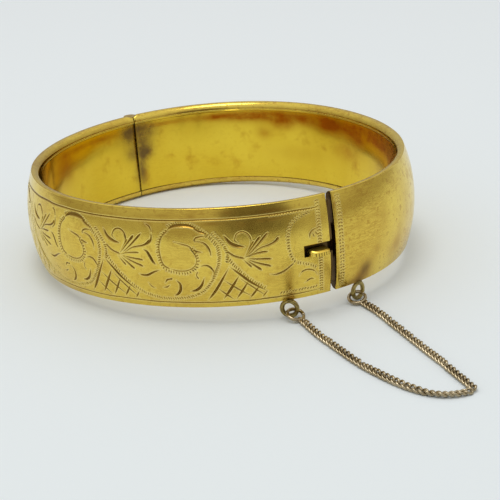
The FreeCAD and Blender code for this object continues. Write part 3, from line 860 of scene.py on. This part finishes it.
# Each look's colour, shade of it, tarnish, roughness, how much rougher it is worn, scratches, and the rest.
METALS = {
    "engraved": (GOLD, GOLD_SHADE, TARNISH, 0.15, 0.10, 1.3, {"scuffing": 0.7}),
    "polished": (GOLD, GOLD_SHADE, TARNISH, 0.15, 0.10, 1.3, {"scuffing": 1.0}),
    # The lining's orange tarnish also colours the painted band of shade and reflection under the upper lip.
    "lining": ((0.88, 0.65, 0.06), (0.79, 0.55, 0.04), (0.42, 0.12, 0.004), 0.06, 0.07, 0.8,
               {"stain_share": 1.0}),
    "thumb": (GOLD, GOLD_SHADE, TARNISH, 0.28, 0.08, 1.0, {}),
    "hinge": ((0.66, 0.48, 0.14), (0.52, 0.36, 0.10), (0.25, 0.15, 0.06), 0.26, 0.14, 1.4, {}),
    # The spring and cap looks are dark brown: painted shade for the dark clasp gap.
    "spring": ((0.13, 0.085, 0.03), (0.09, 0.055, 0.02), (0.04, 0.02, 0.008), 0.35, 0.15, 1.5, {}),
    "shaded_cap": ((0.20, 0.125, 0.045), (0.13, 0.08, 0.03), (0.06, 0.03, 0.01), 0.40, 0.15, 1.5, {}),
    "eye": ((0.42, 0.33, 0.11), (0.28, 0.21, 0.07), (0.14, 0.09, 0.04), 0.22, 0.14, 1.4, {"grain": 600.0}),
    "chain": ((0.49, 0.41, 0.27), (0.34, 0.27, 0.16), (0.16, 0.11, 0.07), 0.17, 0.12, 1.2, {"grain": 700.0}),
    # The edge look, on cut ends, seams and slot walls, is dark brown: painted shade.
    "edge": ((0.11, 0.058, 0.014), (0.07, 0.036, 0.009), (0.03, 0.015, 0.005), 0.42, 0.15, 1.5, {}),
}
# Streaks of wear: turn, stretch, then the noise's grain, detail, roughness, start and end, then strength.
SCUFFS = [((turn, 0.4, 0.8), 6.0, 1.6, 5.0, 0.7, 0.54, 0.68, 0.55) for turn in (0.9, -0.6)]
HAIRS = [((turn, 0.9 * turn, 0.8), 14.0, 2.6, 2.0, 0.6, 0.58, 0.63, 0.6) for turn in (0.35, -1.1, 1.9)]


def add(tree, kind, settings=None, **sockets):
    """New node; each socket is given a value or a link, by its name with _ for a space."""
    made = tree.nodes.new(kind)
    for key, value in (settings or {}).items():
        setattr(made, key, value)
    for key, value in sockets.items():
        feed(tree, made.inputs[key.replace("_", " ")], value)
    return made


def feed(tree, socket, value):
    """Link another node's output to a socket, or set its value."""
    if isinstance(value, bpy.types.NodeSocket):
        tree.links.new(value, socket)
    else:
        socket.default_value = value


def mix_colour(tree, share, first, second):
    """Colour between two colours or sockets, by a share or a socket."""
    made = add(tree, "ShaderNodeMix", {"data_type": "RGBA"})
    feed(tree, made.inputs[0], share)
    for index, value in ((6, first), (7, second)):
        feed(tree, made.inputs[index], (*value, 1.0) if isinstance(value, tuple) else value)
    return made.outputs[2]


def maths(tree, operation, first, second, clamp=True):
    """Sum, product and the like of two values or sockets."""
    made = add(tree, "ShaderNodeMath", {"operation": operation, "use_clamp": clamp})
    feed(tree, made.inputs[0], first)
    feed(tree, made.inputs[1], second)
    return made.outputs[0]


def remap(tree, value, low, high, to_low, to_high):
    """Value from low to high spread over to_low to to_high."""
    made = add(tree, "ShaderNodeMapRange", None, Value=value)
    for index, number in ((1, low), (2, high), (3, to_low), (4, to_high)):
        made.inputs[index].default_value = number
    return made.outputs[0]


def noise(tree, place, scale, detail, rough):
    made = add(tree, "ShaderNodeTexNoise", None, Vector=place, Scale=scale, Detail=detail, Roughness=rough)
    return made.outputs["Fac"]


def streaked(tree, place, stretch, turn):
    """Place squeezed along one turned axis, so that noise over it makes streaks."""
    made = add(tree, "ShaderNodeMapping", None, Vector=place, Scale=(1.0, 1.0, stretch), Rotation=turn)
    return made.outputs["Vector"]


def painted(tree, name):
    """Value that a mesh carries in one of its attributes."""
    return add(tree, "ShaderNodeAttribute", {"attribute_name": name}).outputs["Fac"]


def fresh_tree(holder):
    holder.use_nodes = True
    holder.node_tree.nodes.clear()
    return holder.node_tree


def surface(tree, shader):
    tree.links.new(shader.outputs["BSDF"], add(tree, "ShaderNodeOutputMaterial").inputs["Surface"])


def metal(name, colour, shade, tarnish, rough, wear, scratch, stain_share=0.9, grain=260.0, scuffing=0.15):
    """Worn plated metal: uneven tone, spots of tarnish, cuts painted dark as painted shade, burrs painted
    light as a painted highlight, fine scratches.
    """
    made = bpy.data.materials.new(name)
    tree = fresh_tree(made)
    place = add(tree, "ShaderNodeTexCoord").outputs["Object"]
    cloud = noise(tree, place, grain, 4.0, 0.6)
    broad = noise(tree, place, grain * 0.28, 3.0, 0.5)
    fine = noise(tree, place, grain * 14, 5.0, 0.7)
    tone = mix_colour(tree, remap(tree, broad, 0.35, 0.65, 0.0, 1.0), colour, shade)
    cloud_level = remap(tree, cloud, 0.3, 0.7, 0.55, 1.35)
    # Stain spots, which on the linings include the painted band of shade and reflection under the upper lip.
    soiled_and_shaded = maths(tree, "MULTIPLY", painted(tree, "stain"), cloud_level)
    soiled_and_shaded = maths(tree, "MAXIMUM", soiled_and_shaded, remap(tree, cloud, 0.54, 0.74, 0.0, 0.45))
    used = remap(tree, broad, 0.44, 0.60, 0.15, 1.0)
    for turn, stretch, scale, detail, roughness, low, high, strength in SCUFFS + HAIRS:
        streaks = noise(tree, streaked(tree, place, stretch, turn), grain * scale, detail, roughness)
        rubbed = remap(tree, streaks, low, high, 0.0, strength * scuffing)
        soiled_and_shaded = maths(tree, "MAXIMUM", soiled_and_shaded, maths(tree, "MULTIPLY", rubbed, used, False))
    specks = remap(tree, noise(tree, place, grain * 5.5, 3.0, 0.6), 0.54, 0.66, 0.0, 0.6 * scuffing)
    soiled_and_shaded = maths(tree, "MULTIPLY", maths(tree, "MAXIMUM", soiled_and_shaded, specks), stain_share)
    tone = mix_colour(tree, soiled_and_shaded, tone, tarnish)
    # Cuts are painted a dark brown from the tarnish colour, darker where deeper: painted shade in the
    # grooves.
    cut_shade = remap(tree, painted(tree, "cut"), 0.03, 0.40, 0.0, 0.9)
    tone = mix_colour(tree, cut_shade, tone, tuple(0.50 * c for c in tarnish))
    # Burrs beside the cuts are painted light yellow: a painted highlight.
    burr_highlight = maths(tree, "MULTIPLY", painted(tree, "burr"), 0.5, False)
    tone = mix_colour(tree, burr_highlight, tone, BURR_HIGHLIGHT_COLOUR)
    dirty = maths(tree, "MULTIPLY", painted(tree, "grime"), cloud_level)
    tone = mix_colour(tree, dirty, tone, GRIME)
    gloss = remap(tree, cloud, 0.3, 0.7, rough, rough + wear)
    gloss = maths(tree, "ADD", gloss, maths(tree, "MULTIPLY", soiled_and_shaded, 0.15, False))
    gloss = maths(tree, "ADD", gloss, maths(tree, "MULTIPLY", dirty, 0.25, False))
    polish = maths(tree, "MULTIPLY", painted(tree, "shine"), SHINE_GAIN, False)
    gloss = maths(tree, "SUBTRACT", gloss, polish)
    lines = noise(tree, streaked(tree, place, 9.0, (0.5, 0.2, 0.9)), grain * 2.2, 6.0, 0.75)
    bump = add(tree, "ShaderNodeBump", None, Strength=0.3 * scratch, Distance=0.000012, Height=lines)
    pits = add(tree, "ShaderNodeBump", None, Strength=0.3 * scratch, Distance=0.000002, Height=fine,
               Normal=bump.outputs["Normal"])
    surface(tree, add(tree, "ShaderNodeBsdfPrincipled", None, Metallic=1.0, Base_Color=tone, Roughness=gloss,
                      Normal=pits.outputs["Normal"]))
    return made


# ---- floor, light and camera ----
FLOOR_REACH = 4.0
# The floor is painted lighter away from the camera, from the near colour to the far one: a painted light
# falloff.
FLOOR_NEAR = (0.80, 0.85, 0.862)
FLOOR_FAR = (0.85, 0.885, 0.90)
FLOOR_TURN = math.radians(-150)
ROOM_LOW = (0.50, 0.46, 0.38)
ROOM_HIGH = (1.10, 1.11, 1.12)
ROOM_STRENGTH = 0.71
DARK_COLOUR = (0.09, 0.065, 0.045)
DARK_TURN = math.radians(-20)
DARK_RISE = 0.17
LAMP_PLACE = (0.02, -0.07, 0.62)
LAMP_SIZE = 0.30
LAMP_POWER = 1.05
CAMERA_AZIMUTH = math.radians(58.85)
CAMERA_ELEVATION = math.radians(22.58)
CAMERA_DISTANCE = 0.23053
CAMERA_TARGET = (0.005223, 0.001901, 0.000617)
CAMERA_ROLL = math.radians(2.915)
CAMERA_LENS = 101.66


def make_floor():
    mesh = bpy.data.meshes.new("floor")
    corners = [(FLOOR_REACH * x, FLOOR_REACH * y, 0) for x, y in ((-1, -1), (1, -1), (1, 1), (-1, 1))]
    mesh.from_pydata(corners, [], [(0, 1, 2, 3)])
    floor = put("floor", mesh)
    made = bpy.data.materials.new("floor_paper")
    tree = fresh_tree(made)
    place = add(tree, "ShaderNodeTexCoord").outputs["Object"]
    turned = add(tree, "ShaderNodeMapping", None, Vector=place, Rotation=(0, 0, FLOOR_TURN))
    away = add(tree, "ShaderNodeSeparateXYZ", None, Vector=turned.outputs["Vector"]).outputs["X"]
    # Painted light falloff: the floor's colour grows lighter away from the camera.
    tone = mix_colour(tree, remap(tree, away, -0.08, 0.35, 0.0, 1.0), FLOOR_NEAR, FLOOR_FAR)
    surface(tree, add(tree, "ShaderNodeBsdfPrincipled", None, Base_Color=tone, Roughness=0.75))
    mesh.materials.append(made)


def make_world():
    """A soft light room, darker low down and in one place at the side."""
    world = bpy.data.worlds.new("room")
    bpy.context.scene.world = world
    tree = fresh_tree(world)
    towards = add(tree, "ShaderNodeTexCoord").outputs["Generated"]
    height = add(tree, "ShaderNodeSeparateXYZ", None, Vector=towards).outputs["Z"]
    tone = mix_colour(tree, remap(tree, height, -0.02, 0.75, 0.0, 1.0), ROOM_LOW, ROOM_HIGH)
    beside = add(tree, "ShaderNodeVectorMath", {"operation": "DOT_PRODUCT"})
    feed(tree, beside.inputs[0], towards)
    feed(tree, beside.inputs[1], (math.cos(DARK_TURN), math.sin(DARK_TURN), DARK_RISE))
    dark = remap(tree, beside.outputs["Value"], 0.925, 0.965, 0.0, 0.8)
    tone = mix_colour(tree, dark, tone, DARK_COLOUR)
    back = add(tree, "ShaderNodeBackground", None, Color=tone, Strength=ROOM_STRENGTH)
    out = add(tree, "ShaderNodeOutputWorld")
    tree.links.new(back.outputs["Background"], out.inputs["Surface"])


def make_lamp():
    """Broad soft lamp overhead, aimed at the origin."""
    lamp = bpy.data.lights.new("soft_top", "AREA")
    lamp.shape = "DISK"
    lamp.size = LAMP_SIZE
    lamp.energy = LAMP_POWER
    holder = put("soft_top", lamp)
    holder.location = LAMP_PLACE
    holder.rotation_mode = "QUATERNION"
    holder.rotation_quaternion = (-Vector(LAMP_PLACE)).to_track_quat("-Z", "Y")


def make_camera():
    level = math.cos(CAMERA_ELEVATION)
    right = Vector((math.cos(CAMERA_AZIMUTH), math.sin(CAMERA_AZIMUTH), 0))
    back = Vector((math.sin(CAMERA_AZIMUTH) * level, -math.cos(CAMERA_AZIMUTH) * level,
                   math.sin(CAMERA_ELEVATION)))
    up = back.cross(right)
    x_axis = right * math.cos(CAMERA_ROLL) - up * math.sin(CAMERA_ROLL)
    y_axis = right * math.sin(CAMERA_ROLL) + up * math.cos(CAMERA_ROLL)
    data = bpy.data.cameras.new("camera")
    data.sensor_width = 36.0
    data.lens = CAMERA_LENS
    data.clip_start = 0.01
    data.clip_end = 20.0
    camera = put("camera", data)
    matrix = Matrix((x_axis, y_axis, back)).transposed().to_4x4()
    matrix.translation = Vector(CAMERA_TARGET) + back * CAMERA_DISTANCE
    camera.matrix_world = matrix
    bpy.context.scene.camera = camera


# ---- stains, grime and a painted band of shade: place along, place up, spread along, spread up, strength ----
ENGRAVED_STAINS = [
    (-7.0, 3.4, 0.7, 2.2, 0.5), (-7.0, 0.4, 1.0, 1.0, 0.7), (-17.5, 13.1, 2.2, 0.35, 0.8),
    (-9.5, 14.2, 2.8, 0.45, 0.8), (-15.5, 14.5, 1.6, 0.3, 0.6), (-9.8, 13.0, 2.6, 0.35, 0.8),
    (-13.2, 12.6, 1.2, 0.5, 0.6), (-24.5, 14.3, 1.8, 0.3, 0.5), (-20.5, 14.2, 0.7, 0.5, 0.5),
    (-27.0, 13.0, 0.8, 0.4, 0.8), (-6.5, 11.0, 0.8, 2.0, 0.3), (-27.5, 5.0, 3.0, 1.5, 0.25),
    (-22.5, 4.0, 1.0, 1.5, 0.3),
]
PLAIN_STAINS = [
    (5.4, 1.8, 2.3, 2.2, 1.0), (3.2, 0.3, 1.6, 0.8, 0.7), (14.0, 5.0, 1.5, 2.5, 0.35),
    (7.8, 4.8, 1.4, 1.2, 0.45), (4.6, 9.3, 0.8, 1.2, 0.45), (9.8, 9.0, 1.2, 3.0, 0.35),
    (2.9, 12.6, 1.6, 0.8, 0.3), (12.5, 3.0, 2.0, 1.5, 0.4), (17.0, 9.5, 1.5, 3.0, 0.4),
]
PLAIN_GRIME = [(5.6, 2.1, 1.1, 1.1, 0.75), (4.4, 0.2, 1.6, 0.8, 0.6)]
# In both lining lists the long low spots at 12.5 to 12.9 up paint a darker orange band just under the upper
# lip: painted shade and reflection. The other spots are stains.
PLAIN_LINING_STAINS_AND_SHADE = [
    (52, 12.7, 14, 1.3, 1.0), (70, 12.7, 9, 1.0, 0.9), (36, 12.5, 9, 1.6, 0.9), (47, 11.0, 3.0, 1.5, 0.8),
    (66, 11.3, 2.5, 1.2, 0.55), (70, 9.6, 1.5, 1.2, 0.45), (51, 8.0, 3.0, 1.5, 0.55),
    (56, 11.8, 3.0, 1.2, 0.6), (80, 12.9, 9, 0.6, 0.6), (27, 10.5, 11.0, 3.5, 0.65),
    (92, 12.9, 4.0, 0.4, 0.5), (16, 8.0, 8.0, 5.0, 0.5), (63, 6.0, 7.0, 1.5, 0.2), (31, 9.0, 6.0, 3.5, 0.4),
]
ENGRAVED_LINING_STAINS_AND_SHADE = [
    (-84, 12.8, 7.0, 0.6, 0.7), (-76, 11.0, 4.0, 3.0, 0.6), (-50, 12.9, 14, 0.5, 0.5),
    (-20, 12.9, 12, 0.5, 0.5),
]
HINGE_GRIME = [
    (94.6, 11.0, 2.4, 3.6, 0.95), (94.8, 5.5, 1.0, 3.6, 0.65), (92.6, 12.2, 1.8, 1.2, 0.6),
    (93.4, 8.4, 1.2, 1.0, 0.5),
]

# ---- put together ----
END_STEPS = np.array([0.0, 0.01, 0.03, 0.06, 0.1, 0.15, 0.2])
AFTER_END = CLASP_GAP / 2 + 0.25
AFTER_STITCHES = 2.6
ENGRAVED_STATIONS = 1250
PLAIN_STATIONS = 170
STITCH_STATIONS = 34

chance = np.random.default_rng(SEED)
materials = {look: metal(look + "_gold", *values, **rest) for look, (*values, rest) in METALS.items()}

plain_end = S_AT_HINGE[1] - HINGE_SEAM / 2
engraved_end = S_AT_HINGE[-1] + HINGE_SEAM / 2
engraved_base = np.concatenate([np.linspace(engraved_end, -AFTER_END, ENGRAVED_STATIONS),
                                -(CLASP_GAP / 2 + END_STEPS)[::-1]])
engraved_base[nearest(engraved_base, -SLOT_LENGTH)] = -SLOT_LENGTH
plain_base = np.concatenate([CLASP_GAP / 2 + END_STEPS,
                             np.linspace(AFTER_END, AFTER_STITCHES, STITCH_STATIONS),
                             np.linspace(AFTER_STITCHES, plain_end, PLAIN_STATIONS)[1:]])
engraved_lining_base = np.linspace(engraved_end, -CLASP_GAP / 2, PLAIN_STATIONS)
plain_lining_base = np.linspace(CLASP_GAP / 2, plain_end, PLAIN_STATIONS)

engraved_shell = make_shell("engraved_shell_skin", -1, engraved_base, 0.08, engrave, ENGRAVED_STAINS)
plain_shell = make_shell("plain_shell_skin", 1, plain_base, 0.1, stitch, PLAIN_STAINS, PLAIN_GRIME)
engraved_lining = make_lining("engraved_lining_sheet", -1, engraved_lining_base, ENGRAVED_LINING_STAINS_AND_SHADE,
                              [(-s, *rest) for s, *rest in HINGE_GRIME])
plain_lining = make_lining("plain_lining_sheet", 1, plain_lining_base, PLAIN_LINING_STAINS_AND_SHADE, HINGE_GRIME)
thumb = make_thumb_piece("thumb_lozenge")
front_eye = make_eye("engraved_eye", FRONT_EYE_TURN, FRONT_EYE_FACES)
back_eye = make_eye("plain_eye", BACK_EYE_TURN, BACK_EYE_FACES)
front_ring = make_jump_ring("front_ring", FRONT_EYE_TURN, FRONT_RING_LEADS, 0.9)
back_ring = make_jump_ring("back_ring", BACK_EYE_TURN, BACK_RING_LEADS, 2.2)
front_chain, front_line, front_length = make_chain("front_chain_links", FRONT_ROUTE)
back_chain, back_line, back_length = make_chain("back_chain_links", BACK_ROUTE)

PIECES = (
    (engraved_shell, "engraved_half", "engraved", "engraved_shell"),
    (plain_shell, "plain_half", "polished", "plain_shell"),
    (engraved_lining, "engraved_half", "lining", "engraved_lining"),
    (plain_lining, "plain_half", "lining", "plain_lining"),
    (thumb, "snap", "thumb", "thumb_piece"),
    (front_eye, "engraved_half", "eye", "engraved_chain_eye"),
    (back_eye, "plain_half", "eye", "plain_chain_eye"),
    (front_ring, "front_chain", "chain", "jump_ring_front"),
    (back_ring, "back_chain", "chain", "jump_ring_back"),
    (front_chain, "front_chain", "chain", "chain_leg_front"),
    (back_chain, "back_chain", "chain", "chain_leg_back"),
)
for piece, body, look, node in PIECES:
    piece.data.materials.append(materials[look])
    # Every piece carries the dark edge look, painted shade, as its second material.
    piece.data.materials.append(materials["edge"])
    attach(piece, body)
    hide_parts(node)

# The clasp's mouth plate, cap and tongue take the dark looks: painted shade for the clasp gap.
CAD_LOOKS = {"hinge": ["engraved_hinge_cap", "plain_hinge_cap", "hinge_pin", "engraved_knuckle_1",
                       "engraved_knuckle_3", "engraved_knuckle_5", "plain_knuckle_2", "plain_knuckle_4"],
             "shaded_cap": ["engraved_mouth_plate", "plain_clasp_cap"],
             "spring": ["tongue_base", "tongue_spring_leaf"]}
for look, names in CAD_LOOKS.items():
    for name in names:
        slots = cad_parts[name].data.materials
        slots.clear()
        slots.append(materials[look])

make_floor()
make_world()
make_lamp()
make_camera()
bpy.context.scene.view_settings.view_transform = "Standard"
